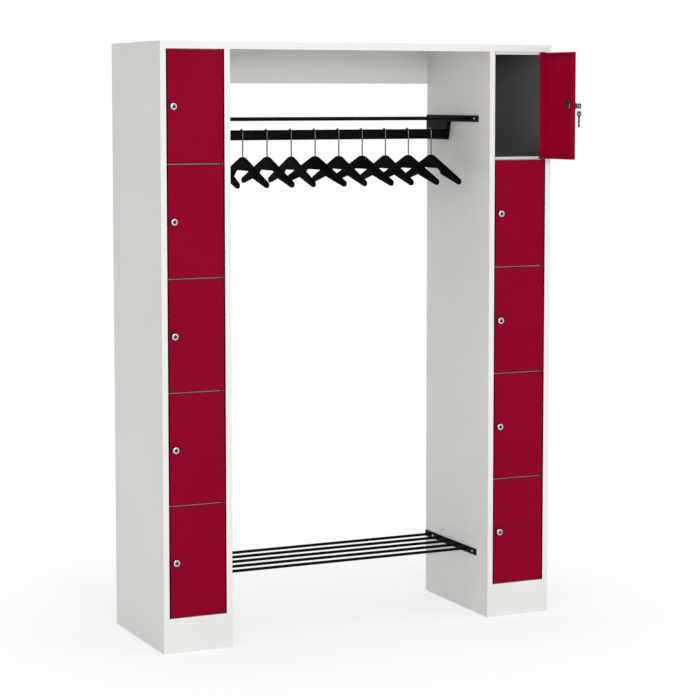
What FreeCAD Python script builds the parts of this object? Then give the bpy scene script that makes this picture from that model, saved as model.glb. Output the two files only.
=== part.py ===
import FreeCAD, Part
import os
import re
from math import atan2

import Sketcher

# Steel coat stand between two columns of lockers, one on each side of an open bay.
# X runs to the right, Y to the back and Z up, all in millimetres.
# The origin is on the floor, in the middle of the footprint.

DOORS_PER_COLUMN = 5
HANGERS = 10
TUBES_PER_RACK = 5
OPEN_DOOR = "door_right_1"
OPEN_ANGLE_DEGREES = 95.0
HANGER_YAW_DEGREES = (-5.0, -1.3, -1.0, -4.0, 2.0, -1.5, 1.0, -2.5, -0.5, -1.5)

SIZES = (
    # Whole unit
    ("width", 1410.0),
    ("depth", 460.0),
    ("height", 1950.0),
    ("column_width", 236.0),
    ("sheet", 1.0),
    ("overrun", 2.0),
    # Front frame
    ("stile_width", 20.0),
    ("header_height", 24.0),
    ("rail_height", 13.0),
    ("stop_lip", 10.0),
    ("stop_gap", 2.0),
    # Plinth and its floor anchors
    ("plinth_height", 100.0),
    ("anchor_flange", 30.0),
    ("anchor_hole_radius", 4.5),
    # Rear apron over the bay, and the holes for wall screws in the column backs
    ("apron_height", 129.0),
    ("apron_return", 15.0),
    ("wall_hole_radius", 4.0),
    ("wall_hole_drop", 75.0),
    # Locker shelves
    ("shelf_flange", 18.0),
    ("shelf_turn_down", 12.0),
    ("gap_strip_setback", 4.0),
    ("gap_strip_thickness", 1.8),
    # Doors and hinge pins
    ("door_thickness", 15.0),
    ("door_side_gap", 4.5),
    ("door_lip", 6.5),
    ("pin_radius", 2.0),
    ("pin_fit", 0.05),
    ("pin_inset", 5.0),
    ("pin_setback", 5.0),
    ("pin_reach", 5.0),
    ("lug_length", 14.0),
    ("lug_depth", 9.0),
    ("lug_thickness", 2.5),
    ("lug_play", 1.25),
    # Cam locks
    ("lock_inset", 16.5),
    ("lock_face_radius", 11.0),
    ("lock_stand_out", 13.0),
    ("barrel_radius", 9.0),
    ("barrel_play", 0.1),
    ("nut_radius", 13.0),
    ("nut_thickness", 4.0),
    ("plug_radius", 6.0),
    ("plug_fit", 0.05),
    ("plug_proud", 0.6),
    ("keyway_width", 2.4),
    ("keyway_height", 8.0),
    ("keyway_depth", 18.0),
    ("cam_length", 26.0),
    ("cam_width", 14.0),
    ("cam_thickness", 2.5),
    ("cam_clearance", 1.0),
    ("cam_play", 0.4),
    ("cam_screw_radius", 4.0),
    ("cam_screw_height", 3.0),
    # Keys and their ring
    ("key_play", 0.2),
    ("key_blade_length", 16.0),
    ("key_neck", 4.0),
    ("key_neck_height", 9.0),
    ("key_bow_radius", 9.0),
    ("key_hole_radius", 3.0),
    ("ring_radius", 11.0),
    ("ring_wire_radius", 0.8),
    ("ring_gap", 0.1),
    ("spare_blade_length", 32.0),
    # Hat shelf, shoe rack and coat rail
    ("hat_shelf_drop", 249.0),
    ("shoe_rack_rise", 211.0),
    ("bracket_setback", 79.0),
    ("bracket_height", 22.0),
    ("bracket_thickness", 3.0),
    ("tube_radius", 5.0),
    ("tube_wall", 1.2),
    ("first_tube_setback", 158.0),
    ("tube_pitch", 68.0),
    ("rail_setback", 305.0),
    ("rail_drop", 303.0),
    ("rail_tall", 34.0),
    ("rail_thick", 15.0),
    ("rail_wall", 1.5),
    ("drop_top_setback", 279.0),
    ("drop_low_setback", 295.0),
    ("drop_fall", 63.0),
    ("drop_flange_width", 15.0),
    # Bracket screws
    ("screw_radius", 2.5),
    ("screw_play", 0.2),
    ("screw_head_radius", 4.5),
    ("screw_crown_radius", 3.2),
    ("screw_head_height", 2.6),
    ("screw_end", 5.0),
    ("screw_from_end", 26.0),
    # Hanger hooks
    ("hanger_end_gap", 72.1),
    ("hanger_shift", 2.2),
    ("wire_radius", 2.3),
    ("hook_radius", 11.0),
    ("hook_tail", 20.0),
    ("hook_rest_gap", 0.3),
    ("stem_head_radius", 4.5),
    ("stem_head_height", 3.0),
    ("stem_fit", 0.05),
    # Hanger shoulders, measured from the peak
    ("peak_drop", 72.0),
    ("shoulder_thickness", 12.0),
    ("crown_half", 25.0),
    ("crown_fall", 4.6),
    ("crown_radius", 70.23),
    ("tip_half", 222.0),
    ("tip_fall", 77.0),
    ("tip_ease", 0.15),
    ("arm_end_inset", 8.0),
    ("arm_end_drop", 18.0),
    ("arch_foot_half", 86.0),
    ("arch_foot_fall", 65.0),
    ("arch_half", 50.0),
    ("arch_fall", 45.0),
    ("arch_corner_radius", 44.0),
    ("neck_depth", 16.0),
    ("head_play", 0.4),
)

# Sizes of a hanger's arm end, which follow from its tip
ARM_ENDS = (
    ("arm_end_half", "tip_half - arm_end_inset"),
    ("arm_end_fall", "tip_fall + arm_end_drop"),
    ("tip_radius", "sqrt(arm_end_inset^2 + arm_end_drop^2)/2 + tip_ease"),
)

# Places that follow from the sizes
FRONT = "(-depth/2)"
BACK = "(depth/2)"
BAY_HALF = "(width/2 - column_width)"
STOP_FRONT = f"({FRONT} + door_thickness + stop_gap)"
STOP_BACK = f"({STOP_FRONT} + sheet)"
SILL_TOP = "(plinth_height + rail_height)"
HEADER_BOTTOM = "(height - header_height)"
TIER = f"(({HEADER_BOTTOM} - {SILL_TOP})/{DOORS_PER_COLUMN})"
DOOR_WIDTH = "(column_width - 2*stile_width - 2*door_side_gap)"
DOOR_HEIGHT = f"({TIER} - lug_thickness - 2*lug_play)"
HINGE_Y = f"({FRONT} + pin_setback)"
RAIL_Y = f"({FRONT} + rail_setback)"
RAIL_Z = "(height - rail_drop)"
RAIL_TOP = f"({RAIL_Z} + rail_tall/2)"
BRACKET_FRONT = f"({FRONT} + bracket_setback)"
COLUMNS = {"left": "(-width/2)", "right": "(width/2 - column_width)"}
RACKS = {"hat_shelf": "(height - hat_shelf_drop)", "shoe_rack": "shoe_rack_rise"}

# Places on a door, from its hinge axis and its lower edge
DOOR_LEFT = f"(pin_inset - {DOOR_WIDTH})"
DOOR_FACE = "(-pin_setback)"
DOOR_BACK = f"({DOOR_FACE} + door_thickness)"
LOCK_X = f"({DOOR_LEFT} + lock_inset)"
LOCK_Z = f"({DOOR_HEIGHT}/2)"
LOCK_FACE = f"({DOOR_FACE} - lock_stand_out)"
CAM_FRONT = f"({DOOR_BACK} + stop_gap + sheet + cam_clearance)"
PLUG_FACE = f"({LOCK_FACE} - plug_proud)"
BOW_Y = f"({PLUG_FACE} - key_neck - key_bow_radius)"
RING_TOP = f"({LOCK_Z} - key_hole_radius + ring_gap + ring_wire_radius)"
RING_BOTTOM = f"({RING_TOP} - 2*ring_radius)"
SPARE_HOLE = f"({RING_BOTTOM} + ring_wire_radius + ring_gap - key_hole_radius)"

# Places on a hanger, from the rail's middle
HOOK_CENTRE = f"({RAIL_TOP} + hook_rest_gap + wire_radius - hook_radius)"
STEM_Y = f"({RAIL_Y} - hook_radius)"
PEAK = f"({RAIL_Z} - peak_drop)"
HANGER_PITCH = f"((2*{BAY_HALF} - 2*hanger_end_gap)/{HANGERS - 1})"

ALONG_X = FreeCAD.Rotation(FreeCAD.Vector(0, 1, 0), 90)
ALONG_Y = FreeCAD.Rotation(FreeCAD.Vector(1, 0, 0), -90)
ALONG_Z = FreeCAD.Rotation()
# Turns a ring that lies flat into the plane of Y and Z, starting from +Y.
UPRIGHT_RING = FreeCAD.Rotation(FreeCAD.Vector(1, 1, 1), 120)

doc = FreeCAD.newDocument("CoatLockerStand")
sheet = doc.addObject("Spreadsheet::Sheet", "Sizes")
for row, (alias, content) in enumerate(SIZES + ARM_ENDS, start=1):
    sheet.set(f"A{row}", alias)
    sheet.set(f"B{row}", f"={content}")
    sheet.setAlias(f"B{row}", alias)
doc.recompute()
VALUES = {alias: float(sheet.get(alias)) for alias, content in SIZES + ARM_ENDS}
sub_parts = []


def in_sheet(formula):
    """A formula with each size name pointing at its cell."""
    return re.sub(
        r"[a-z_]+",
        lambda word: f"Sizes.{word.group()}" if word.group() in VALUES else word.group(),
        formula,
    )


def bind(thing, sizes):
    """Tie properties of a document object to formulas."""
    for name, formula in sizes.items():
        thing.setExpression(name, in_sheet(formula))


def put(thing, x, y, z, rotation=ALONG_Z):
    """Turn an object, then tie its place to formulas."""
    thing.Placement = FreeCAD.Placement(FreeCAD.Vector(), rotation)
    bind(thing, {"Placement.Base.x": x, "Placement.Base.y": y, "Placement.Base.z": z})
    return thing


def box(name, x, y, z):
    """A box between two formulas along each axis."""
    thing = doc.addObject("Part::Box", name)
    bind(
        thing,
        {
            "Length": f"{x[1]} - ({x[0]})",
            "Width": f"{y[1]} - ({y[0]})",
            "Height": f"{z[1]} - ({z[0]})",
        },
    )
    return put(thing, x[0], y[0], z[0])


def rod(name, radius, length, x, y, z, rotation):
    """A cylinder from a point, along the turned Z axis."""
    thing = doc.addObject("Part::Cylinder", name)
    bind(thing, {"Radius": radius, "Height": length})
    return put(thing, x, y, z, rotation)


def arc_of_wire(name, ring, wire, sweep, x, y, z, rotation):
    """A bent stretch of round wire."""
    thing = doc.addObject("Part::Torus", name)
    bind(thing, {"Radius1": ring, "Radius2": wire})
    thing.Angle3 = sweep
    return put(thing, x, y, z, rotation)


def fuse(name, pieces):
    if len(pieces) == 1:
        return pieces[0]
    thing = doc.addObject("Part::MultiFuse", name)
    thing.Shapes = pieces
    thing.Refine = True
    return thing


def cut(name, base, tool):
    thing = doc.addObject("Part::Cut", name)
    thing.Base = base
    thing.Tool = tool
    return thing


def group(name, solids):
    thing = doc.addObject("Part::Compound", name)
    thing.Links = solids
    return thing


def sub_part(label, thing):
    """Name a finished sub-part after its node."""
    thing.Label = label
    sub_parts.append(thing)
    return thing


def placed_value(name):
    """The present value of a size name that may carry a minus sign."""
    return -VALUES[name[1:]] if name.startswith("-") else VALUES.get(name, 0.0)


def corner_arc(first, last, radius):
    """The short arc that runs anticlockwise from one corner to another."""
    chord = last - first
    rise = (radius ** 2 - chord.Length ** 2 / 4) ** 0.5
    towards = FreeCAD.Vector(-chord.y, chord.x, 0).normalize()
    centre = (first + last) / 2 + towards * rise
    ends = [point - centre for point in (first, last)]
    angles = [atan2(end.y, end.x) for end in ends]
    return Part.ArcOfCircle(Part.Circle(centre, FreeCAD.Vector(0, 0, 1), radius), *angles)


def hold(sketch, edge, end, corner):
    """Hold the end of an edge at a corner, by its signed size names across and up."""
    for kind, name, axis in zip(("DistanceX", "DistanceY"), corner, (-2, -1)):
        if name == "0":
            sketch.addConstraint(Sketcher.Constraint("PointOnObject", edge, end, axis))
            continue
        pair = (edge, end, -1, 1) if name.startswith("-") else (-1, 1, edge, end)
        index = sketch.addConstraint(Sketcher.Constraint(kind, *pair, VALUES[name.lstrip("-")]))
        sketch.setExpression(f"Constraints[{index}]", in_sheet(name.lstrip("-")))


def profile_plate(name, corners, thickness, rounds, start):
    """A plate padded along X from an outline in Y and Z. A round is a radius, hollow if negative."""
    body = doc.addObject("PartDesign::Body", name)
    sketch = body.newObject("Sketcher::SketchObject", f"{name}_outline")
    plane = [feature for feature in body.Origin.OriginFeatures if feature.Role == "YZ_Plane"][0]
    sketch.AttachmentSupport = (plane, "")
    sketch.MapMode = "FlatFace"
    bind(sketch, {"AttachmentOffset.Base.z": start})
    points = [FreeCAD.Vector(placed_value(y), placed_value(z), 0) for y, z in corners]
    for n, first in enumerate(points):
        last = points[(n + 1) % len(points)]
        ends = (1, 2)
        if n not in rounds:
            sketch.addGeometry(Part.LineSegment(first, last), False)
        elif rounds[n].startswith("-"):
            sketch.addGeometry(corner_arc(last, first, -placed_value(rounds[n])), False)
            ends = (2, 1)
        else:
            sketch.addGeometry(corner_arc(first, last, placed_value(rounds[n])), False)
        hold(sketch, n, ends[0], corners[n])
        hold(sketch, n, ends[1], corners[(n + 1) % len(corners)])
        if n in rounds:
            radius = rounds[n].lstrip("-")
            index = sketch.addConstraint(Sketcher.Constraint("Radius", n, VALUES[radius]))
            sketch.setExpression(f"Constraints[{index}]", in_sheet(radius))
    pad = body.newObject("PartDesign::Pad", f"{name}_pad")
    pad.Profile = sketch
    bind(pad, {"Length": thickness})
    body.Tip = pad
    return body


def centred(middle, size):
    """The two ends of a size set about its middle."""
    return (f"{middle} - {size}/2", f"{middle} + {size}/2")


# Folded side panels


def screw_places():
    """Each bracket screw's rack height and depth."""
    ends = (f"{BRACKET_FRONT} + screw_from_end", f"{BACK} - screw_from_end - tube_pitch/2")
    return [(rise, depth) for rise in RACKS.values() for depth in ends]


def side_panel(label, column, lock_side, holed):
    """A side with its front folded into a stile, and a stop lip where the lock is."""
    left = COLUMNS[column]
    right = f"({left} + column_width)"
    if lock_side:
        wall = (left, f"{left} + sheet")
        stile = (left, f"{left} + stile_width")
        fold = (f"{left} + stile_width - sheet", f"{left} + stile_width")
    else:
        wall = (f"{right} - sheet", right)
        stile = (f"{right} - stile_width", right)
        fold = (f"{right} - stile_width", f"{right} - stile_width + sheet")
    front_skin = (FRONT, f"{FRONT} + sheet")
    framed = ("plinth_height", HEADER_BOTTOM)
    pieces = [
        box(f"{label}_wall", wall, (f"{FRONT} + sheet", BACK), ("0", "height - sheet")),
        box(f"{label}_stile", stile, front_skin, framed),
        box(f"{label}_fold", fold, (f"{FRONT} + sheet", STOP_BACK), framed),
    ]
    if lock_side:
        lip = (f"{left} + stile_width", f"{left} + stile_width + stop_lip")
        pieces.append(box(f"{label}_stop", lip, (STOP_FRONT, STOP_BACK), framed))
    panel = fuse(f"{label}_folded", pieces)
    if holed:
        holes = [
            rod(f"{label}_hole_{n}", "screw_radius + screw_play", "sheet + 2*overrun",
                f"{wall[0]} - overrun", depth, rise, ALONG_X)
            for n, (rise, depth) in enumerate(screw_places())
        ]
        panel = cut(f"{label}_drilled", panel, fuse(f"{label}_holes", holes))
    return sub_part(label, panel)


side_panel("left_outer_side", "left", lock_side=True, holed=False)
side_panel("left_inner_side", "left", lock_side=False, holed=True)
side_panel("right_inner_side", "right", lock_side=True, holed=True)
side_panel("right_outer_side", "right", lock_side=False, holed=False)


# Backs, plinths and shelves of the columns


def inside(column, walls):
    """The span between a column's sides, past so many sheets on each side."""
    left = COLUMNS[column]
    return (f"{left} + {walls}*sheet", f"{left} + column_width - {walls}*sheet")


def back_panel(column):
    """A column's back, with a hole for a wall screw in its top locker."""
    panel = box(f"{column}_back", inside(column, 1), (f"{BACK} - sheet", BACK),
                ("plinth_height", "height - sheet"))
    hole = rod(f"{column}_wall_hole", "wall_hole_radius", "sheet + 2*overrun",
               f"{COLUMNS[column]} + column_width/2", f"{BACK} - sheet - overrun", "height - wall_hole_drop",
               ALONG_Y)
    return sub_part(f"{column}_back_panel", cut(f"{column}_back_drilled", panel, hole))


def plinth(column):
    """A base frame with a flush front board and a flange on the floor."""
    left = COLUMNS[column]
    middle = f"({left} + column_width/2)"
    shell = box(f"{column}_base", inside(column, 1), (f"{FRONT} + sheet", BACK), ("0", "plinth_height"))
    flange_x = inside(column, 2)
    hollow = box(f"{column}_base_hollow", flange_x, (f"{FRONT} + sheet - overrun", f"{BACK} - sheet"),
                 ("sheet", "plinth_height + overrun"))
    window = box(f"{column}_base_window",
                 (f"{flange_x[0]} + anchor_flange", f"{flange_x[1]} - anchor_flange"),
                 (f"{FRONT} + sheet + anchor_flange", f"{BACK} - sheet - anchor_flange"),
                 ("-overrun", "sheet + overrun"))
    inset = "(sheet + anchor_flange/2)"
    anchors = [
        rod(f"{column}_anchor_{n}", "anchor_hole_radius", "sheet + 2*overrun",
            middle, place, "-overrun", ALONG_Z)
        for n, place in enumerate((f"{FRONT} + {inset}", f"{BACK} - {inset}"))
    ]
    openings = fuse(f"{column}_base_openings", [hollow, window] + anchors)
    frame = cut(f"{column}_base_frame", shell, openings)
    board = box(f"{column}_kick_board", (left, f"{left} + column_width"), (FRONT, f"{FRONT} + sheet"),
                ("0", "plinth_height"))
    return sub_part(f"{column}_plinth", fuse(f"{column}_plinth_whole", [frame, board]))


def shelf_tray(column, tier):
    """A shelf folded down all round, with a front flange that stops two doors."""
    left = COLUMNS[column]
    name = f"{column}_shelf_{tier}"
    line = f"({SILL_TOP} + {tier}*{TIER})"
    top = f"({line} + shelf_flange/2)"
    behind = (STOP_BACK, f"{BACK} - sheet")
    shell = box(f"{name}_shell", inside(column, 1), behind, (f"{top} - shelf_turn_down", top))
    hollow = box(f"{name}_hollow", inside(column, 2), (f"{STOP_BACK} - overrun", f"{BACK} - 2*sheet"),
                 (f"{top} - shelf_turn_down - overrun", f"{top} - sheet"))
    opening = (f"{left} + stile_width", f"{left} + column_width - stile_width")
    flange_x = (f"{opening[0]} + stop_lip", opening[1])
    pieces = [
        cut(f"{name}_deck", shell, hollow),
        box(f"{name}_flange", flange_x, (STOP_FRONT, STOP_BACK), (f"{line} - shelf_flange/2", top)),
    ]
    if tier == 0:
        pieces.append(box(f"{name}_sill", opening, (f"{FRONT} + sheet", STOP_FRONT),
                          (f"{SILL_TOP} - sheet", SILL_TOP)))
        pieces.append(box(f"{name}_rail", opening, (FRONT, f"{FRONT} + sheet"),
                          ("plinth_height", SILL_TOP)))
    return fuse(name, pieces)


def gap_strip(column, tier):
    """A strip along a shelf's front, set back in the gap between two doors as far as the pivot lug."""
    opening = f"({COLUMNS[column]} + stile_width)"
    lug = f"({COLUMNS[column]} + column_width - stile_width - lug_length)"
    return box(f"{column}_gap_strip_{tier}", (opening, f"{lug} - lug_play"),
               (f"{FRONT} + gap_strip_setback", STOP_FRONT),
               centred(f"{SILL_TOP} + {tier}*{TIER}", "gap_strip_thickness"))


for column in COLUMNS:
    back_panel(column)
    plinth(column)
    trays = [shelf_tray(column, tier) for tier in range(DOORS_PER_COLUMN + 1)]
    strips = [gap_strip(column, tier) for tier in range(1, DOORS_PER_COLUMN)]
    sub_part(f"{column}_shelves", group(f"{column}_shelf_set", trays + strips))


# Roof and rear apron


def roof():
    """One tray over both columns and the bay, folded down and back at the front."""
    across = ("-width/2", "width/2")
    pieces = [
        box("roof_top", across, (FRONT, BACK), ("height - sheet", "height")),
        box("roof_front", across, (FRONT, f"{FRONT} + sheet"), (HEADER_BOTTOM, "height - sheet")),
    ]
    spans = [inside("left", 1), (f"-{BAY_HALF}", BAY_HALF), inside("right", 1)]
    for n, span in enumerate(spans):
        pieces.append(box(f"roof_return_{n}", span, (f"{FRONT} + sheet", STOP_FRONT),
                          (HEADER_BOTTOM, f"{HEADER_BOTTOM} + sheet")))
    return sub_part("roof", fuse("roof_tray", pieces))


def rear_apron():
    """The strip that ties the columns together at the back."""
    low = "(height - apron_height)"
    across = (f"-{BAY_HALF}", BAY_HALF)
    pieces = [
        box("apron_sheet", across, (f"{BACK} - sheet", BACK), (low, "height - sheet")),
        box("apron_fold", across, (f"{BACK} - apron_return", f"{BACK} - sheet"), (low, f"{low} + sheet")),
    ]
    return sub_part("rear_apron", fuse("apron_folded", pieces))


roof()
rear_apron()


# Racks, coat rail and screws


def from_wall(side, near, far):
    """A span across the bay, measured inwards from its left or right wall."""
    if side == "left":
        return (f"-{BAY_HALF} + {near}", f"-{BAY_HALF} + {far}")
    return (f"{BAY_HALF} - {far}", f"{BAY_HALF} - {near}")


DROP_OUTLINE = (
    ("drop_top_setback", "0"),
    ("drop_low_setback", "-drop_fall"),
    ("depth", "-drop_fall"),
    ("depth", "0"),
)


def rail_drop(name, side, low):
    """The plate under a hat shelf bar that holds the rail's end, with a flange along its raked front."""
    span = from_wall(side, "0", "drop_flange_width")[0]
    inwards = "+" if side == "left" else "-"
    blank = profile_plate(f"{name}_blank", DROP_OUTLINE, "drop_flange_width", {}, "0")
    put(blank, span, FRONT, low)
    behind = profile_plate(f"{name}_behind", DROP_OUTLINE, "drop_flange_width", {}, "0")
    put(behind, f"{span} {inwards} bracket_thickness", f"{FRONT} + bracket_thickness", low)
    return cut(name, blank, behind)


def bracket(side, rack):
    """A flat bar on the bay's wall. The hat shelf's bar drops down to hold the coat rail."""
    name = f"{rack}_bracket_{side}"
    plate_x = from_wall(side, "0", "bracket_thickness")
    bar_z = centred(RACKS[rack], "bracket_height")
    pieces = [box(f"{name}_bar", plate_x, (BRACKET_FRONT, BACK), bar_z)]
    if rack == "hat_shelf":
        pieces.append(rail_drop(f"{name}_drop", side, bar_z[0]))
    holes = [
        rod(f"{name}_hole_{n}", "screw_radius + screw_play", "bracket_thickness + 2*overrun",
            f"{plate_x[0]} - overrun", depth, rise, ALONG_X)
        for n, (rise, depth) in enumerate(screw_places())
        if rise == RACKS[rack]
    ]
    return cut(name, fuse(f"{name}_plate", pieces), fuse(f"{name}_holes", holes))


def rack_tube(rack, n):
    """A thin tube from bracket to bracket."""
    name = f"{rack}_tube_{n}"
    setback = f"(first_tube_setback + {n}*tube_pitch)"
    place = (f"-{BAY_HALF} + bracket_thickness", f"{FRONT} + {setback}", RACKS[rack])
    length = f"2*{BAY_HALF} - 2*bracket_thickness"
    outside = rod(f"{name}_outside", "tube_radius", length, *place, ALONG_X)
    bore = rod(f"{name}_bore", "tube_radius - tube_wall", length, *place, ALONG_X)
    return cut(name, outside, bore)


def rail_section(name, wall):
    """An upright oval bar of the rail's length, so much smaller all round."""
    half = "(rail_tall/2 - rail_thick/2)"
    length = f"2*{BAY_HALF} - 2*bracket_thickness"
    start = f"-{BAY_HALF} + bracket_thickness"
    radius = f"rail_thick/2 - {wall}"
    pieces = [
        box(f"{name}_web", (start, f"{start} + {length}"),
            (f"{RAIL_Y} - ({radius})", f"{RAIL_Y} + {radius}"),
            (f"{RAIL_Z} - {half}", f"{RAIL_Z} + {half}")),
        rod(f"{name}_low", radius, length, start, RAIL_Y, f"{RAIL_Z} - {half}", ALONG_X),
        rod(f"{name}_high", radius, length, start, RAIL_Y, f"{RAIL_Z} + {half}", ALONG_X),
    ]
    return fuse(name, pieces)


def bracket_screw(side, n, rise, depth):
    """A pan head screw through a bracket and the wall behind it."""
    name = f"screw_{side}_{n}"
    shank = "bracket_thickness + sheet + screw_end"
    seat = from_wall(side, "0", "bracket_thickness")
    if side == "left":
        start, head_at, turn = f"{seat[1]} - ({shank})", seat[1], ALONG_X
    else:
        start, head_at, turn = seat[0], seat[0], ALONG_X.inverted()
    head = doc.addObject("Part::Cone", f"{name}_head")
    bind(head, {"Radius1": "screw_head_radius", "Radius2": "screw_crown_radius"})
    bind(head, {"Height": "screw_head_height"})
    put(head, head_at, depth, rise, turn)
    stem = rod(f"{name}_shank", "screw_radius", shank, start, depth, rise, ALONG_X)
    return fuse(name, [stem, head])


SIDES = ("left", "right")
for rack in RACKS:
    sub_part(f"{rack}_brackets", group(f"{rack}_bracket_pair", [bracket(side, rack) for side in SIDES]))
tubes = [rack_tube(rack, n) for rack in RACKS for n in range(TUBES_PER_RACK)]
sub_part("rack_tubes", group("rack_tube_set", tubes))
rail = cut("coat_rail_tube", rail_section("rail_outside", "0"), rail_section("rail_bore", "rail_wall"))
sub_part("coat_rail", rail)
screws = [
    bracket_screw(side, n, rise, depth)
    for side in SIDES
    for n, (rise, depth) in enumerate(screw_places())
]
sub_part("bracket_screws", group("bracket_screw_set", screws))


# Hinge pins, doors and locks


def hinge_x(column):
    return f"({COLUMNS[column]} + column_width - stile_width - door_side_gap - pin_inset)"


def hinge_pin(column, tier):
    """A pivot lug on the stile between two doors, with its pin reaching into each of them."""
    name = f"{column}_pivot_{tier}"
    line = f"({SILL_TOP} + {tier}*{TIER})"
    edge = f"({COLUMNS[column]} + column_width - stile_width)"
    half = "lug_thickness/2"
    reach = f"({half} + lug_play + sheet + pin_reach)"
    low = tier > 0
    high = tier < DOORS_PER_COLUMN
    lug_z = (f"{line} - {half}" if low else line, f"{line} + {half}" if high else line)
    pin_z = (f"{line} - {reach}" if low else line, f"{line} + {reach}" if high else line)
    lug = box(f"{name}_lug", (f"{edge} - lug_length", edge), centred(HINGE_Y, "lug_depth"), lug_z)
    pin = rod(f"{name}_pin", "pin_radius", f"{pin_z[1]} - ({pin_z[0]})",
              hinge_x(column), HINGE_Y, pin_z[0], ALONG_Z)
    return fuse(name, [lug, pin])


def on_door(thing, column, number):
    """Set a piece made about its hinge axis on its door, counted from the top."""
    tier = DOORS_PER_COLUMN - number
    is_open = f"door_{column}_{number}" == OPEN_DOOR
    swing = FreeCAD.Rotation(FreeCAD.Vector(0, 0, 1), OPEN_ANGLE_DEGREES if is_open else 0)
    lower_edge = f"{SILL_TOP} + {tier}*{TIER} + lug_thickness/2 + lug_play"
    return put(thing, hinge_x(column), HINGE_Y, lower_edge, swing)


def lock_rod(name, radius, near, far):
    """A cylinder on a lock's axis between two depths."""
    return rod(name, radius, f"{far} - ({near})", LOCK_X, near, LOCK_Z, ALONG_Y)


def door(column, number):
    """A folded steel tray with its lock housing and the nut that clamps it."""
    label = f"door_{column}_{number}"
    wide = (DOOR_LEFT, "pin_inset")
    inner_x = (f"{DOOR_LEFT} + sheet", "pin_inset - sheet")
    mouth_x = (f"{DOOR_LEFT} + door_lip", "pin_inset - door_lip")
    mouth_z = ("door_lip", f"{DOOR_HEIGHT} - door_lip")
    cuts = [
        box(f"{label}_hollow", inner_x, (f"{DOOR_FACE} + sheet", f"{DOOR_BACK} - sheet"),
            ("sheet", f"{DOOR_HEIGHT} - sheet")),
        box(f"{label}_mouth", mouth_x, (f"{DOOR_BACK} - 2*sheet", f"{DOOR_BACK} + overrun"), mouth_z),
        rod(f"{label}_pin_holes", "pin_radius + pin_fit", f"{DOOR_HEIGHT} + 2*overrun",
            "0", "0", "-overrun", ALONG_Z),
        lock_rod(f"{label}_lock_hole", "barrel_radius + barrel_play",
                 f"{DOOR_FACE} - overrun", f"{DOOR_FACE} + sheet + overrun"),
    ]
    slab = box(f"{label}_slab", wide, (DOOR_FACE, DOOR_BACK), ("0", DOOR_HEIGHT))
    tray = cut(f"{label}_tray", slab, fuse(f"{label}_cuts", cuts))
    barrel_end = f"({CAM_FRONT} - cam_play)"
    housing = cut(
        f"{label}_lock_housing",
        fuse(f"{label}_lock_body", [
            lock_rod(f"{label}_lock_face", "lock_face_radius", LOCK_FACE, DOOR_FACE),
            lock_rod(f"{label}_lock_barrel", "barrel_radius", LOCK_FACE, barrel_end),
        ]),
        lock_rod(f"{label}_lock_bore", "plug_radius + plug_fit",
                 f"{LOCK_FACE} - overrun", f"{barrel_end} + overrun"),
    )
    nut_back = f"({DOOR_FACE} + sheet + nut_thickness)"
    nut = cut(
        f"{label}_lock_nut",
        lock_rod(f"{label}_nut_blank", "nut_radius", f"{DOOR_FACE} + sheet", nut_back),
        lock_rod(f"{label}_nut_bore", "barrel_radius + barrel_play", DOOR_FACE, f"{nut_back} + overrun"),
    )
    return sub_part(label, on_door(group(f"{label}_set", [tray, housing, nut]), column, number))


def lock(column, number):
    """The plug that the key turns, its cam and the cam's screw. The cam points up when unlocked."""
    label = f"lock_{column}_{number}"
    keyway = box(f"{label}_keyway", centred(LOCK_X, "keyway_width"),
                 (f"{PLUG_FACE} - overrun", f"{PLUG_FACE} + keyway_depth"),
                 centred(LOCK_Z, "keyway_height"))
    plug = cut(f"{label}_plug", lock_rod(f"{label}_core", "plug_radius", PLUG_FACE, CAM_FRONT), keyway)
    cam_back = f"({CAM_FRONT} + cam_thickness)"
    cam = box(f"{label}_cam", centred(LOCK_X, "cam_width"), (CAM_FRONT, cam_back),
              (f"{LOCK_Z} - cam_width/2", f"{LOCK_Z} + cam_length"))
    screw = lock_rod(f"{label}_cam_screw", "cam_screw_radius", cam_back, f"{cam_back} + cam_screw_height")
    return sub_part(label, on_door(group(f"{label}_set", [plug, cam, screw]), column, number))


for column in COLUMNS:
    for number in range(1, DOORS_PER_COLUMN + 1):
        door(column, number)
        lock(column, number)
pivots = [hinge_pin(column, tier) for column in COLUMNS for tier in range(DOORS_PER_COLUMN + 1)]
sub_part("hinge_pins", group("hinge_pin_set", pivots))


# Keys of the open door

KEY_PLATE = "(keyway_width - 2*key_play)"
KEY_TALL = "(keyway_height - 2*key_play)"


def key_plate(name, bow_y, bow_z, pieces):
    """A flat key: its round bow with a hole, and the given blade and neck."""
    start = f"{LOCK_X} - {KEY_PLATE}/2"
    bow = rod(f"{name}_bow", "key_bow_radius", KEY_PLATE, start, bow_y, bow_z, ALONG_X)
    hole = rod(f"{name}_hole", "key_hole_radius", f"{KEY_PLATE} + 2*overrun",
               f"{start} - overrun", bow_y, bow_z, ALONG_X)
    return cut(name, fuse(f"{name}_blank", [bow] + pieces), hole)


def key():
    """The key in the open door's lock, its bow upright."""
    thick = centred(LOCK_X, KEY_PLATE)
    blade = box("key_blade", thick, (PLUG_FACE, f"{PLUG_FACE} + key_blade_length"),
                centred(LOCK_Z, KEY_TALL))
    neck = box("key_neck_plate", thick, (BOW_Y, PLUG_FACE), centred(LOCK_Z, "key_neck_height"))
    return sub_part("key", on_door(key_plate("key_whole", BOW_Y, LOCK_Z, [blade, neck]), "right", 1))


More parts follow.
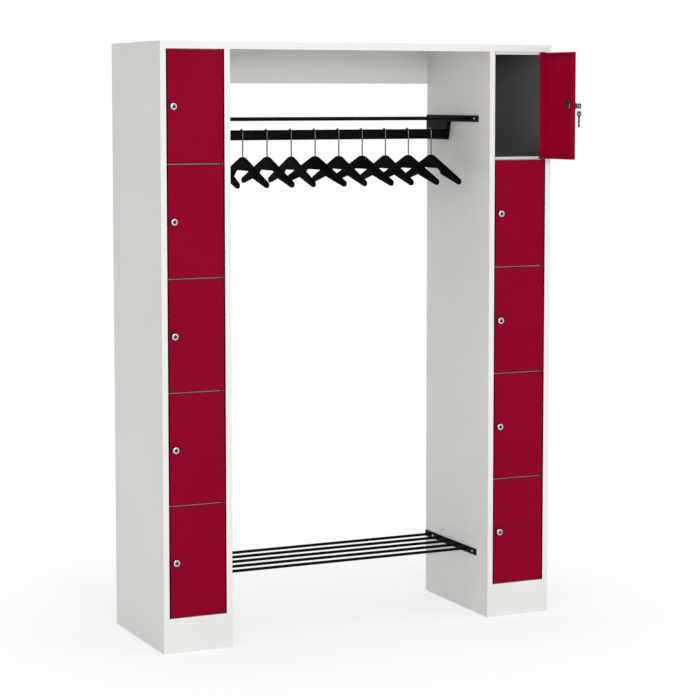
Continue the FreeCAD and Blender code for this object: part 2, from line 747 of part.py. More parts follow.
def spare_key():
    """A split ring through the key's bow, with the second key hanging from it."""
    ring = arc_of_wire("key_ring", "ring_radius", "ring_wire_radius", 360, LOCK_X, BOW_Y,
                       f"{RING_TOP} - ring_radius", ALONG_Y)
    thick = centred(LOCK_X, KEY_PLATE)
    bow_end = f"({SPARE_HOLE} - key_bow_radius - key_neck)"
    neck = box("spare_neck", thick, centred(BOW_Y, "key_neck_height"), (bow_end, SPARE_HOLE))
    blade = box("spare_blade", thick, centred(BOW_Y, KEY_TALL),
                (f"{bow_end} - spare_blade_length", bow_end))
    spare = key_plate("spare_whole", BOW_Y, SPARE_HOLE, [neck, blade])
    return sub_part("spare_key", on_door(group("spare_key_set", [ring, spare]), "right", 1))


key()
spare_key()


# Hangers


def hanger_x(n):
    return f"(hanger_shift + {n - (HANGERS - 1) / 2}*{HANGER_PITCH})"


def hanger_hook(n):
    """A wire hook: a straight stem in front of the rail, a half turn over it and a tail behind."""
    label = f"hanger_hook_{n + 1:02d}"
    x = hanger_x(n)
    head_low = f"({PEAK} - neck_depth - stem_head_height)"
    tail_y = f"{RAIL_Y} + hook_radius"
    tail_low = f"({HOOK_CENTRE} - hook_tail)"
    over = arc_of_wire(f"{label}_over", "hook_radius", "wire_radius", 180, x, RAIL_Y, HOOK_CENTRE, UPRIGHT_RING)
    stem = rod(f"{label}_stem", "wire_radius", f"{HOOK_CENTRE} - {head_low}", x, STEM_Y, head_low, ALONG_Z)
    head = rod(f"{label}_head", "stem_head_radius", "stem_head_height", x, STEM_Y, head_low, ALONG_Z)
    tail = rod(f"{label}_tail", "wire_radius", "hook_tail", x, tail_y, tail_low, ALONG_Z)
    tail_end = doc.addObject("Part::Sphere", f"{label}_tail_end")
    bind(tail_end, {"Radius": "wire_radius"})
    put(tail_end, x, tail_y, tail_low)
    return sub_part(label, fuse(f"{label}_wire", [over, stem, head, tail, tail_end]))


SHOULDER_OUTLINE = (
    ("crown_half", "-crown_fall"),
    ("-crown_half", "-crown_fall"),
    ("-tip_half", "-tip_fall"),
    ("-arm_end_half", "-arm_end_fall"),
    ("-arch_foot_half", "-arch_foot_fall"),
    ("-arch_half", "-arch_fall"),
    ("arch_half", "-arch_fall"),
    ("arch_foot_half", "-arch_foot_fall"),
    ("arm_end_half", "-arm_end_fall"),
    ("tip_half", "-tip_fall"),
)
SHOULDER_ROUNDS = {
    0: "crown_radius",
    2: "tip_radius",
    4: "-arch_corner_radius",
    6: "-arch_corner_radius",
    8: "tip_radius",
}


def hanger_shoulder(n):
    """Two sloping arms under a crown, moulded round the head of the hook's stem."""
    label = f"hanger_shoulder_{n + 1:02d}"
    blank = profile_plate(f"{label}_blank", SHOULDER_OUTLINE, "shoulder_thickness", SHOULDER_ROUNDS,
                          "-shoulder_thickness/2")
    room = "(stem_head_height + head_play)"
    head_room = rod(f"{label}_head_room", "stem_head_radius + head_play", room,
                    "0", "0", f"-neck_depth - {room}", ALONG_Z)
    hole = rod(f"{label}_hole", "wire_radius + stem_fit", "neck_depth + 2*overrun",
               "0", "0", "-neck_depth - head_play", ALONG_Z)
    shoulder = cut(f"{label}_moulding", blank, fuse(f"{label}_cuts", [head_room, hole]))
    turn = FreeCAD.Rotation(FreeCAD.Vector(0, 0, 1), HANGER_YAW_DEGREES[n])
    return sub_part(label, put(shoulder, hanger_x(n), STEM_Y, PEAK, turn))


def check_and_write():
    """Stop at the first object that failed, then write every sub-part."""
    doc.recompute()
    for thing in doc.Objects:
        if {"Invalid", "Error"} & set(thing.State):
            raise RuntimeError(f"{thing.Label} failed: {thing.State}")
    os.makedirs("parts", exist_ok=True)
    for thing in sub_parts:
        if thing.Shape.isNull() or not thing.Shape.isValid():
            raise RuntimeError(f"{thing.Label} has no valid shape")
        thing.Shape.exportStep(f"parts/{thing.Label}.step")
        print(thing.Label, len(thing.Shape.Solids), round(thing.Shape.Volume))


for n in range(HANGERS):
    hanger_hook(n)
    hanger_shoulder(n)
check_and_write()
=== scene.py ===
import math

import bmesh
import bpy
from mathutils import Matrix, Vector
from mathutils.geometry import tessellate_polygon


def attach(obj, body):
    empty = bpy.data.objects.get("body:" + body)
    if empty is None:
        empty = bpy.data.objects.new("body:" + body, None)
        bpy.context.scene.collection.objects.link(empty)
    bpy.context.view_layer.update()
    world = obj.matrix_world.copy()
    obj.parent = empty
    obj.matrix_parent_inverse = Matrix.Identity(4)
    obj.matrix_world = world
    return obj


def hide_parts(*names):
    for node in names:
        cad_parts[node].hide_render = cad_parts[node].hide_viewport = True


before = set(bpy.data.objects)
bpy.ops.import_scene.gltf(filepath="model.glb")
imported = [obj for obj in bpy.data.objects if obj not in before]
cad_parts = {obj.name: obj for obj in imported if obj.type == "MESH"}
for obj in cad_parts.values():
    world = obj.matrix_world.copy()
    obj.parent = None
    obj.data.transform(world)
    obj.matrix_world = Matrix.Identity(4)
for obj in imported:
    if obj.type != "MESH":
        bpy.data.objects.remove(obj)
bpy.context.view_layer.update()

# Sizes in millimetres, in the same frame as the solids.
MM = 0.001
WIDTH, DEPTH, HEIGHT = 1410.0, 460.0, 1950.0
COLUMN = 236.0
SHEET = 1.0
BEND = 0.8
FRONT, BACK = -DEPTH / 2, DEPTH / 2
BAY = WIDTH / 2 - COLUMN
COLUMN_LEFT = {"left": -WIDTH / 2, "right": BAY}

# Broken edges, and what tells an edge from a flat in pieces taken over from the solids
PANEL_EASE, SHELF_EASE, RACK_EASE = 0.3, 0.2, 0.6
WELD = 0.002
LEAST_MITRE = 0.3
FLAT_ANGLE, EDGE_ANGLE = math.radians(1.0), math.radians(40.0)

# Front frame
STILE, STOP_LIP, STOP_GAP = 20.0, 10.0, 2.0
PLINTH, SILL, HEADER = 100.0, 13.0, 24.0
HEADER_BOTTOM = HEIGHT - HEADER
SILL_TOP = PLINTH + SILL
TIERS = 5
TIER = (HEADER_BOTTOM - SILL_TOP) / TIERS

# Doors and their pivots
DOOR_THICK, DOOR_GAP, DOOR_LIP = 15.0, 4.5, 6.5
DOOR_WIDE = COLUMN - 2 * STILE - 2 * DOOR_GAP
PIN_INSET, PIN_SETBACK = 5.0, 5.0
PIN_RADIUS, PIN_REACH, PIN_TIP = 2.0, 5.0, 0.6
LUG_THICK, LUG_PLAY, LUG_LONG, LUG_DEEP, LUG_EASE = 2.5, 1.25, 14.0, 9.0, 0.2
DOOR_TALL = TIER - LUG_THICK - 2 * LUG_PLAY
STOP = FRONT + DOOR_THICK + STOP_GAP
OPEN_DOOR = ("right", 1)
OPEN_ANGLE = math.radians(95.0)

# Locks, from a door's hinge axis and its lower edge
LOCK_INSET, LOCK_STAND_OUT, PLUG_PROUD = 16.5, 13.0, 0.6
LOCK_X = PIN_INSET - DOOR_WIDE + LOCK_INSET
LOCK_Z = DOOR_TALL / 2
FACE_Y = -PIN_SETBACK
LOCK_FACE_Y = FACE_Y - LOCK_STAND_OUT
PLUG_FACE_Y = LOCK_FACE_Y - PLUG_PROUD
CAM_WIDE, CAM_LONG, CAM_THICK = 14.0, 26.0, 2.5
CAM_CLEARANCE, CAM_PLAY = 1.0, 0.4
CAM_Y = FACE_Y + DOOR_THICK + STOP_GAP + SHEET + CAM_CLEARANCE
BARREL_END_Y = CAM_Y - CAM_PLAY
FACE_RADIUS, BARREL_RADIUS, PLUG_RADIUS, BORE_RADIUS = 11.0, 9.0, 6.0, 6.05
# The rounded rim of a lock's face: how far in from its edge, and how far back from its front
LOCK_RIM = ((2.6, 0.0), (1.2, 0.35), (0.35, 1.2), (0.0, 2.6))
LOCK_EASE, BARREL_EASE, COLLAR_EASE = 0.3, 0.5, 0.4
NUT_FLATS, NUT_CROWN, NUT_THICK, NUT_PLAY, NUT_EASE = 22.5, 21.6, 4.0, 0.1, 0.5
CAM_SCREW_FLATS, CAM_SCREW_CROWN, CAM_SCREW_TALL, CAM_SCREW_EASE = 7.0, 2.9, 3.0, 0.3
CAM_WASHER_RADIUS, CAM_WASHER_TALL = 4.0, 0.6
KEYWAY_WIDE, KEYWAY_TALL, KEYWAY_DEEP = 2.4, 8.0, 18.0
PLUG_EASE, HAIR_GAP = 0.3, 0.01

# Keys and their ring
KEY_THICK, KEY_EASE = 2.0, 0.25
KEY_BOW, KEY_HOLE = 9.0, 3.0
KEY_NECK, KEY_NECK_TALL, KEY_BLADE_TALL = 4.0, 9.0, 7.6
KEY_BLADE, SPARE_BLADE = 16.0, 32.0
KEY_CUTS = (0.0, 1.4, 0.6, 1.8, 1.0, 0.3)
KEY_POINT_LONG, KEY_POINT_TALL = 2.0, 2.2
BOW_Y = PLUG_FACE_Y - KEY_NECK - KEY_BOW
RING_RADIUS, RING_WIRE, RING_GAP = 11.0, 0.8, 0.1
RING_Z = LOCK_Z - KEY_HOLE + RING_GAP + RING_WIRE - RING_RADIUS
SPARE_Z = RING_Z - RING_RADIUS + RING_WIRE + RING_GAP - KEY_HOLE

# Racks, rail and the screws of their brackets
HAT_DROP, SHOE_Z = 249.0, 211.0
HAT_Z = HEIGHT - HAT_DROP
BRACKET_SETBACK, BRACKET_THICK = 79.0, 3.0
TUBE_RADIUS, TUBE_STEP, TUBE_SETBACK, TUBE_EASE = 5.0, 68.0, 158.0, 0.6
TUBE_FIRST_Y = FRONT + TUBE_SETBACK
TUBES = 5
RAIL_SETBACK, RAIL_DROP = 305.0, 303.0
RAIL_Y, RAIL_Z = FRONT + RAIL_SETBACK, HEIGHT - RAIL_DROP
RAIL_TALL, RAIL_THICK, RAIL_WALL, RAIL_EASE = 34.0, 15.0, 1.5, 0.3
RACK_LONG = 2 * BAY - 2 * BRACKET_THICK
SCREW_FROM_END = 26.0
SCREW_YS = (FRONT + BRACKET_SETBACK + SCREW_FROM_END, BACK - SCREW_FROM_END - TUBE_STEP / 2)
SCREW_RADIUS, SCREW_LONG = 2.5, 9.0
SCREW_TIP, SCREW_TIP_LONG = 0.5, 0.8
# A screw's pan head: how far out from its axis, and how far up from its seat
SCREW_PAN = ((4.5, 0.0), (4.5, 0.8), (4.1, 1.7), (3.2, 2.4), (2.4, 2.6))
SOCKET_FLATS, SOCKET_TOP, SOCKET_FLOOR, SOCKET_DIMPLE = 3.0, 2.6, 1.2, (0.4, 1.0)

# Hangers
HANGERS = 10
HANGER_END_GAP = 72.1
HANGER_STEP = (2 * BAY - 2 * HANGER_END_GAP) / (HANGERS - 1)
HANGER_SHIFT = 2.2
HANGER_YAW = (-5.0, -1.3, -1.0, -4.0, 2.0, -1.5, 1.0, -2.5, -0.5, -1.5)
WIRE, HOOK_REST = 2.3, 0.3
HOOK_RADIUS, HOOK_TAIL = 11.0, 20.0
HOOK_CENTRE_Z = RAIL_Z + RAIL_TALL / 2 + HOOK_REST + WIRE - HOOK_RADIUS
STEM_Y = RAIL_Y - HOOK_RADIUS
STEM_HEAD, STEM_HEAD_TALL, STEM_HEAD_EASE = 4.5, 3.0, 0.3
PEAK_DROP = 72.0
PEAK_Z = RAIL_Z - PEAK_DROP
NECK_DEEP = 16.0
SHOULDER_THICK, SHOULDER_EASE = 12.0, 3.0
SHOULDER_CORNERS = {
    "crown": (25.0, -4.6), "tip": (222.0, -77.0), "arm_end": (214.0, -95.0),
    "foot": (86.0, -65.0), "arch": (50.0, -45.0),
}
CROWN_RADIUS, TIP_RADIUS, ARCH_RADIUS = 70.23, 10.0, 44.0

# Colours as seen, in sRGB
WHITE_PAINT = (231, 230, 227)
# Painted shade: grey for the white-painted insides of the lockers, standing in for their shadow
INSIDE_PAINTED_SHADE = (146, 145, 142)
# Painted shade: grey for the white strips in the gaps between doors, standing in for the gaps' shadow
STRIP_PAINTED_SHADE = (164, 162, 160)
RED_PAINT = (136, 2, 37)
# Painted light: a lighter copy of the door red for the doors' inside faces, which lie in shade
RED_INSIDE_PAINTED_LIGHT = (168, 5, 48)
# Painted shade: near black for the white folds and stop lips beside the doors, standing in for the gaps'
# shadow
FOLD_PAINTED_SHADE = (30, 28, 31)
BLACK_PAINT = (10, 10, 11)
BLACK_PLASTIC = (8, 8, 9)
LOCK_CHROME = (214, 215, 218)
HOOK_CHROME = (104, 110, 114)
ZINC = (168, 170, 172)
# Blackened steel, also used as painted shade on the chrome lock collars
DARK_STEEL_AND_PAINTED_SHADE = (84, 84, 86)
KEY_NICKEL = (88, 87, 86)

# The part of a noise's range that is used
NOISE_LOW, NOISE_HIGH = 0.3, 0.7

# Stage, in metres: the floor and its fade to white, the room's light and the photograph's view
FLOOR_HALF, FADE_START, FADE_END, FADE_LEAST = 30.0, 0.7, 1.7, 0.6
FLOOR_DARK, FLOOR_LIGHT = (0.94, 0.94, 0.94), (0.96, 0.96, 0.96)
ROOM_LEVEL = 0.6
VIEW_PLACE = (-3.06308, -6.64057, 1.77369)
VIEW_TILT, VIEW_TURN = math.radians(90.0 - 4.813), math.radians(-25.176)
VIEW_PIXELS, VIEW_FOCUS_PIXELS, VIEW_SHIFT, VIEW_SENSOR = 700.0, 2171.15, -0.1, 36.0


# Mesh helpers


def shift(x, y, z):
    return Matrix.Translation((x, y, z))


def axes(u, v, w, at=(0, 0, 0)):
    """The matrix that lays local x, y and z along three directions from a point."""
    return shift(*at) @ Matrix((u, v, w)).transposed().to_4x4()


ALONG_Y = ((1, 0, 0), (0, 0, -1), (0, 1, 0))
ALONG_X = ((0, 1, 0), (0, 0, 1), (1, 0, 0))
ALONG_MINUS_X = ((0, -1, 0), (0, 0, 1), (-1, 0, 0))


def bridge(bm, a, b):
    """Faces between two rings with as many points."""
    for n in range(len(a)):
        m = (n + 1) % len(a)
        bm.faces.new((a[n], a[m], b[m], b[n]))


def slab(bm, low, high):
    """A flat bar between two corners."""
    made = bmesh.ops.create_cube(bm, size=1)["verts"]
    size = [b - a for a, b in zip(low, high)]
    middle = [(a + b) / 2 for a, b in zip(low, high)]
    bmesh.ops.scale(bm, vec=size, verts=made)
    bmesh.ops.translate(bm, vec=middle, verts=made)


def folded_stations(line, bend, thickness, steps=4):
    """Both faces of a folded sheet, as point pairs along its middle line with rounded bends."""
    points = [Vector(p) for p in line]
    pairs = []

    def add(point, along):
        normal = Vector((-along.y, along.x)) * (thickness / 2)
        pairs.append((point + normal, point - normal))

    add(points[0], (points[1] - points[0]).normalized())
    for before, corner, after in zip(points, points[1:], points[2:]):
        come = (corner - before).normalized()
        go = (after - corner).normalized()
        turn = math.atan2(come.x * go.y - come.y * go.x, come.dot(go))
        back_off = bend * math.tan(abs(turn) / 2)
        side = 1 if turn > 0 else -1
        centre = corner - come * back_off + Vector((-come.y, come.x)) * bend * side
        for step in range(steps + 1):
            along = Matrix.Rotation(turn * step / steps, 2) @ come
            add(centre - Vector((-along.y, along.x)) * bend * side, along)
    add(points[-1], (points[-1] - points[-2]).normalized())
    return pairs


def extrude_stations(bm, pairs, low, high, matrix):
    """A folded sheet of constant section, from low to high along local z."""
    rings = []
    for left, right in pairs:
        corners = [(left, low), (right, low), (right, high), (left, high)]
        rings.append([bm.verts.new(matrix @ Vector((p.x, p.y, z))) for p, z in corners])
    for a, b in zip(rings, rings[1:]):
        bridge(bm, a, b)
    bm.faces.new(rings[0])
    bm.faces.new(reversed(rings[-1]))


def frame_stations(bm, pairs, wide, tall, matrix):
    """A tray whose edge section runs round a rectangle; local x is the inset and y the depth."""
    def ring(point):
        d, y = point
        places = [(d, d), (wide - d, d), (wide - d, tall - d), (d, tall - d)]
        return [bm.verts.new(matrix @ Vector((x, y, z))) for x, z in places]

    sides = [[ring(pair[k]) for pair in pairs] for k in (0, 1)]
    for rings in sides:
        for a, b in zip(rings, rings[1:]):
            bridge(bm, a, b)
        bm.faces.new(rings[-1])
    bridge(bm, sides[0][0], sides[1][0])


def turned(bm, profile, matrix, sides, closed=False):
    """A lathed piece about local z. A radius may be a function of the angle."""
    rings = []
    for radius, height in profile:
        ring = []
        for n in range(sides):
            angle = 2 * math.pi * n / sides
            r = radius(angle) if callable(radius) else radius
            ring.append(bm.verts.new(matrix @ Vector((r * math.cos(angle), r * math.sin(angle), height))))
        rings.append(ring)
    pairs = list(zip(rings, rings[1:]))
    if closed:
        pairs.append((rings[-1], rings[0]))
    for a, b in pairs:
        bridge(bm, a, b)
    if not closed:
        bm.faces.new(rings[0])
        bm.faces.new(rings[-1])


def hexagon(across_flats):
    """The radius of a hexagon as a function of the angle."""
    sixth = math.pi / 3
    return lambda angle: across_flats / 2 / math.cos((angle + sixth / 2) % sixth - sixth / 2)


def arc_points(centre, radius, start, end, steps):
    """Points on a circle's arc, angles in degrees."""
    found = []
    for n in range(steps + 1):
        angle = math.radians(start + (end - start) * n / steps)
        found.append(Vector((centre[0] + radius * math.cos(angle), centre[1] + radius * math.sin(angle))))
    return found


def circle_points(radius, sides):
    """Points round a whole circle about the origin."""
    return arc_points((0, 0), radius, 0, 360 - 360 / sides, sides - 1)


def inset_outline(points, distance):
    """An anticlockwise outline moved inwards."""
    moved = []
    for n, point in enumerate(points):
        come = (point - points[n - 1]).normalized()
        go = (points[(n + 1) % len(points)] - point).normalized()
        normal = Vector((-come.y - go.y, come.x + go.x)).normalized()
        share = max(normal.dot(Vector((-come.y, come.x))), LEAST_MITRE)
        moved.append(point + normal * distance / share)
    return moved


def plate(bm, outline, thickness, ease, matrix, holes=(), steps=3):
    """A flat piece with eased edges and straight holes, thickness along local z."""
    levels = []
    for step in range(steps + 1):
        angle = math.pi / 2 * step / steps
        levels.append((ease * (1 - math.sin(angle)), ease * (1 - math.cos(angle))))
    levels += [(inset, thickness - height) for inset, height in reversed(levels)]
    rings = []
    for inset, height in levels:
        edge = inset_outline(outline, inset)
        rings.append([bm.verts.new(matrix @ Vector((p.x, p.y, height))) for p in edge])
    for a, b in zip(rings, rings[1:]):
        bridge(bm, a, b)
    bores = []
    for hole in holes:
        low = [bm.verts.new(matrix @ Vector((p.x, p.y, 0))) for p in hole]
        high = [bm.verts.new(matrix @ Vector((p.x, p.y, thickness))) for p in hole]
        bridge(bm, high, low)
        bores.append((low, high))
    for rim, side in ((rings[0], 0), (rings[-1], 1)):
        if not bores:
            bm.faces.new(rim)
            continue
        loops = [rim] + [bore[side] for bore in bores]
        flat = [vert for loop in loops for vert in loop]
        turned_back = matrix.inverted()
        shape = [[(turned_back @ vert.co).xy.to_3d() for vert in loop] for loop in loops]
        for a, b, c in tessellate_polygon(shape):
            bm.faces.new((flat[a], flat[b], flat[c]))


def piece(name, bm, material, body, nodes=(), sharp=35.0):
    """Turn a finished shape in millimetres into a named piece that rides on its body."""
    bmesh.ops.recalc_face_normals(bm, faces=bm.faces)
    mesh = bpy.data.meshes.new(name)
    bm.to_mesh(mesh)
    bm.free()
    mesh.transform(Matrix.Scale(MM, 4))
    return settle(name, mesh, material, body, nodes, sharp)


def settle(name, mesh, material, body, nodes=(), sharp=35.0):
    """Give a mesh in metres its finish, its body and the solids that it stands for."""
    mesh.polygons.foreach_set("use_smooth", [True] * len(mesh.polygons))
    mesh.set_sharp_from_angle(angle=math.radians(sharp))
    mesh.materials.clear()
    mesh.materials.append(material)
    obj = bpy.data.objects.new(name, mesh)
    bpy.context.scene.collection.objects.link(obj)
    even = obj.modifiers.new("even_shading", "WEIGHTED_NORMAL")
    even.keep_sharp = True
    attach(obj, body)
    if nodes:
        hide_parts(*nodes)
    return obj


def eased_copy(node, ease, material, body):
    """A CAD piece with its sharp edges broken."""
    bm = bmesh.new()
    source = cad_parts[node]
    bm.from_mesh(source.data)
    bm.transform(source.matrix_world)
    bm.transform(Matrix.Scale(1 / MM, 4))
    bmesh.ops.remove_doubles(bm, verts=bm.verts, dist=WELD)
    bmesh.ops.dissolve_limit(bm, angle_limit=FLAT_ANGLE, verts=bm.verts, edges=bm.edges)
    sharp = [e for e in bm.edges if e.is_manifold and e.calc_face_angle() > EDGE_ANGLE]
    bmesh.ops.bevel(bm, geom=sharp, offset=ease, segments=2, profile=0.5,
                    affect="EDGES", clamp_overlap=True)
    return piece(f"{node}_eased", bm, material, body, [node])


# Finishes


def linear(colour):
    """An sRGB colour of 0 to 255 as linear light."""
    found = []
    for value in colour:
        share = value / 255
        found.append(share / 12.92 if share <= 0.04045 else ((share + 0.055) / 1.055) ** 2.4)
    return found


def finish(name, roughness, metallic, sheen=0.5):
    """An empty finish: its material, its nodes and links, its shader and the object's own coordinates."""
    material = bpy.data.materials.new(name)
    material.use_nodes = True
    nodes, links = material.node_tree.nodes, material.node_tree.links
    shader = nodes["Principled BSDF"]
    shader.inputs["Roughness"].default_value = roughness
    shader.inputs["Metallic"].default_value = metallic
    shader.inputs["Specular IOR Level"].default_value = sheen
    coords = nodes.new("ShaderNodeTexCoord").outputs["Object"]
    return material, nodes, links, shader, coords


def noise(nodes, links, coords, scale, detail, stretch=(1, 1, 1)):
    """Noise of so many waves in a metre, stretched along an axis if asked."""
    mapping = nodes.new("ShaderNodeMapping")
    mapping.inputs["Scale"].default_value = stretch
    links.new(coords, mapping.inputs["Vector"])
    texture = nodes.new("ShaderNodeTexNoise")
    texture.inputs["Scale"].default_value = scale
    texture.inputs["Detail"].default_value = detail
    links.new(mapping.outputs["Vector"], texture.inputs["Vector"])
    return texture.outputs["Fac"]


def spread(nodes, links, value, low, high):
    """Noise brought into a range."""
    ranged = nodes.new("ShaderNodeMapRange")
    ranged.inputs["From Min"].default_value = NOISE_LOW
    ranged.inputs["From Max"].default_value = NOISE_HIGH
    ranged.inputs["To Min"].default_value = low
    ranged.inputs["To Max"].default_value = high
    links.new(value, ranged.inputs["Value"])
    return ranged.outputs["Result"]


def tinted(nodes, links, value, dark, light):
    """A colour that drifts between two shades."""
    ramp = nodes.new("ShaderNodeValToRGB")
    ramp.color_ramp.elements[0].position = NOISE_LOW
    ramp.color_ramp.elements[0].color = (*dark, 1)
    ramp.color_ramp.elements[1].position = NOISE_HIGH
    ramp.color_ramp.elements[1].color = (*light, 1)
    links.new(value, ramp.inputs["Fac"])
    return ramp.outputs["Color"]


def bumped(nodes, links, shader, value, strength, distance):
    """Fine relief from noise."""
    bump = nodes.new("ShaderNodeBump")
    bump.inputs["Strength"].default_value = strength
    bump.inputs["Distance"].default_value = distance
    links.new(value, bump.inputs["Height"])
    links.new(bump.outputs["Normal"], shader.inputs["Normal"])


def powder_coat(name, colour, roughness, drift, sheen):
    """Stoved paint: a faint drift of shade, an orange peel skin and slightly uneven gloss."""
    material, nodes, links, shader, coords = finish(name, roughness, metallic=0.0, sheen=sheen)
    base = linear(colour)
    cloud = noise(nodes, links, coords, scale=5.0, detail=3.0)
    dark, light = [c * (1 - drift) for c in base], [min(c * (1 + drift), 1) for c in base]
    links.new(tinted(nodes, links, cloud, dark, light), shader.inputs["Base Color"])
    patches = noise(nodes, links, coords, scale=38.0, detail=2.0)
    uneven = 0.05
    gloss = spread(nodes, links, patches, roughness - uneven, roughness + uneven)
    links.new(gloss, shader.inputs["Roughness"])
    peel = noise(nodes, links, coords, scale=700.0, detail=2.0)
    bumped(nodes, links, shader, peel, strength=0.12, distance=0.0004)
    return material


def plated(name, colour, roughness, brush):
    """Plated metal with fine polishing marks along one axis."""
    material, nodes, links, shader, coords = finish(name, roughness, metallic=1.0)
    base = linear(colour)
    cloud = noise(nodes, links, coords, scale=60.0, detail=2.0)
    shade = tinted(nodes, links, cloud, [c * 0.93 for c in base], base)
    links.new(shade, shader.inputs["Base Color"])
    marks = noise(nodes, links, coords, scale=500.0, detail=3.0, stretch=brush)
    gloss = spread(nodes, links, marks, low=roughness * 0.7, high=roughness * 1.4)
    links.new(gloss, shader.inputs["Roughness"])
    bumped(nodes, links, shader, marks, strength=0.05, distance=0.0001)
    return material


def moulded(name, colour, roughness):
    """Black plastic with a fine spark-eroded skin."""
    material, nodes, links, shader, coords = finish(name, roughness, metallic=0.0, sheen=0.005)
    base = linear(colour)
    cloud = noise(nodes, links, coords, scale=30.0, detail=3.0)
    shade = tinted(nodes, links, cloud, [c * 0.85 for c in base], [c * 1.2 for c in base])
    links.new(shade, shader.inputs["Base Color"])
    skin = noise(nodes, links, coords, scale=1400.0, detail=2.0)
    uneven = 0.08
    gloss = spread(nodes, links, skin, roughness - uneven, roughness + uneven)
    links.new(gloss, shader.inputs["Roughness"])
    bumped(nodes, links, shader, skin, strength=0.15, distance=0.0003)
    return material


white_paint = powder_coat("white_powder_coat", WHITE_PAINT, roughness=0.45, drift=0.015, sheen=0.3)
# Painted shade for the lockers' insides, which are really white
inside_painted_shade = powder_coat("inside_painted_shade_coat", INSIDE_PAINTED_SHADE, roughness=0.6, drift=0.05, sheen=0.2)
# Painted shade on the strips between the doors
strip_painted_shade = powder_coat("strip_painted_shade_coat", STRIP_PAINTED_SHADE, roughness=0.5, drift=0.03, sheen=0.2)
red_paint = powder_coat("red_powder_coat", RED_PAINT, roughness=0.45, drift=0.05, sheen=0.03)
# Painted light: the lighter red for the doors' inside faces
red_inside_painted_light = powder_coat("red_inside_painted_light_coat", RED_INSIDE_PAINTED_LIGHT, roughness=0.5, drift=0.05, sheen=0.03)
# Painted shade on the folds beside the doors
fold_painted_shade = powder_coat("fold_painted_shade_coat", FOLD_PAINTED_SHADE, roughness=0.6, drift=0.1, sheen=0.05)
black_paint = powder_coat("black_rack_paint", BLACK_PAINT, roughness=0.42, drift=0.2, sheen=0.04)
lock_chrome = plated("lock_chrome", LOCK_CHROME, roughness=0.16, brush=(1, 1, 0.1))
hook_chrome = plated("hook_chrome", HOOK_CHROME, roughness=0.2, brush=(1, 1, 0.1))
zinc = plated("zinc_plate", ZINC, roughness=0.36, brush=(1, 0.2, 1))
# Blackened steel for pins, nuts, plugs and cams, and painted shade on the lock collars
dark_steel_and_painted_shade = plated("blackened_steel_and_painted_shade", DARK_STEEL_AND_PAINTED_SHADE, roughness=0.45, brush=(1, 0.2, 1))
nickel = plated("key_nickel", KEY_NICKEL, roughness=0.3, brush=(1, 0.2, 1))
black_plastic = moulded("hanger_plastic", BLACK_PLASTIC, roughness=0.45)


# Node trees for what repeats


def node_tree(name, inputs):
    """A geometry tree with named inputs: the tree, its identifiers, its input node and its output node."""
    tree = bpy.data.node_groups.new(name, "GeometryNodeTree")
    tree.interface.new_socket("Geometry", in_out="OUTPUT", socket_type="NodeSocketGeometry")
    tree.interface.new_socket("Geometry", in_out="INPUT", socket_type="NodeSocketGeometry")
    keys = {}
    for label, kind in inputs:
        keys[label] = tree.interface.new_socket(label, in_out="INPUT", socket_type=kind).identifier
    return tree, keys, tree.nodes.new("NodeGroupInput"), tree.nodes.new("NodeGroupOutput")


def rows_tree():
    """Copies of one piece in rows: a step within the row and a step between rows."""
    tree, keys, start, end = node_tree("rows_of_pieces", [
        ("Count", "NodeSocketInt"), ("Step", "NodeSocketVector"),
        ("Rows", "NodeSocketInt"), ("Row Step", "NodeSocketVector"), ("Finish", "NodeSocketMaterial"),
    ])
    nodes, links = tree.nodes, tree.links
    line, rows = nodes.new("GeometryNodeMeshLine"), nodes.new("GeometryNodeMeshLine")
    spread_rows = nodes.new("GeometryNodeInstanceOnPoints")
    spread_pieces = nodes.new("GeometryNodeInstanceOnPoints")
    flat, real = nodes.new("GeometryNodeRealizeInstances"), nodes.new("GeometryNodeRealizeInstances")
    paint = nodes.new("GeometryNodeSetMaterial")
    links.new(start.outputs["Count"], line.inputs["Count"])
    links.new(start.outputs["Step"], line.inputs["Offset"])
    links.new(start.outputs["Rows"], rows.inputs["Count"])
    links.new(start.outputs["Row Step"], rows.inputs["Offset"])
    links.new(rows.outputs["Mesh"], spread_rows.inputs["Points"])
    links.new(line.outputs["Mesh"], spread_rows.inputs["Instance"])
    links.new(spread_rows.outputs["Instances"], flat.inputs["Geometry"])
    links.new(flat.outputs["Geometry"], spread_pieces.inputs["Points"])
    links.new(start.outputs["Geometry"], spread_pieces.inputs["Instance"])
    links.new(spread_pieces.outputs["Instances"], real.inputs["Geometry"])
    links.new(real.outputs["Geometry"], paint.inputs["Geometry"])
    links.new(start.outputs["Finish"], paint.inputs["Material"])
    links.new(paint.outputs["Geometry"], end.inputs["Geometry"])
    return tree, keys


def wire_tree():
    """Round wire along a path, with capped ends."""
    tree, keys, start, end = node_tree("wire_on_path", [
        ("Radius", "NodeSocketFloat"), ("Sides", "NodeSocketInt"), ("Finish", "NodeSocketMaterial"),
    ])
    nodes, links = tree.nodes, tree.links
    circle, sweep = nodes.new("GeometryNodeCurvePrimitiveCircle"), nodes.new("GeometryNodeCurveToMesh")
    real, paint = nodes.new("GeometryNodeRealizeInstances"), nodes.new("GeometryNodeSetMaterial")
    sweep.inputs["Fill Caps"].default_value = True
    links.new(start.outputs["Radius"], circle.inputs["Radius"])
    links.new(start.outputs["Sides"], circle.inputs["Resolution"])
    links.new(start.outputs["Geometry"], sweep.inputs["Curve"])
    links.new(circle.outputs["Curve"], sweep.inputs["Profile Curve"])
    links.new(sweep.outputs["Mesh"], real.inputs["Geometry"])
    links.new(real.outputs["Geometry"], paint.inputs["Geometry"])
    links.new(start.outputs["Finish"], paint.inputs["Material"])
    links.new(paint.outputs["Geometry"], end.inputs["Geometry"])
    return tree, keys


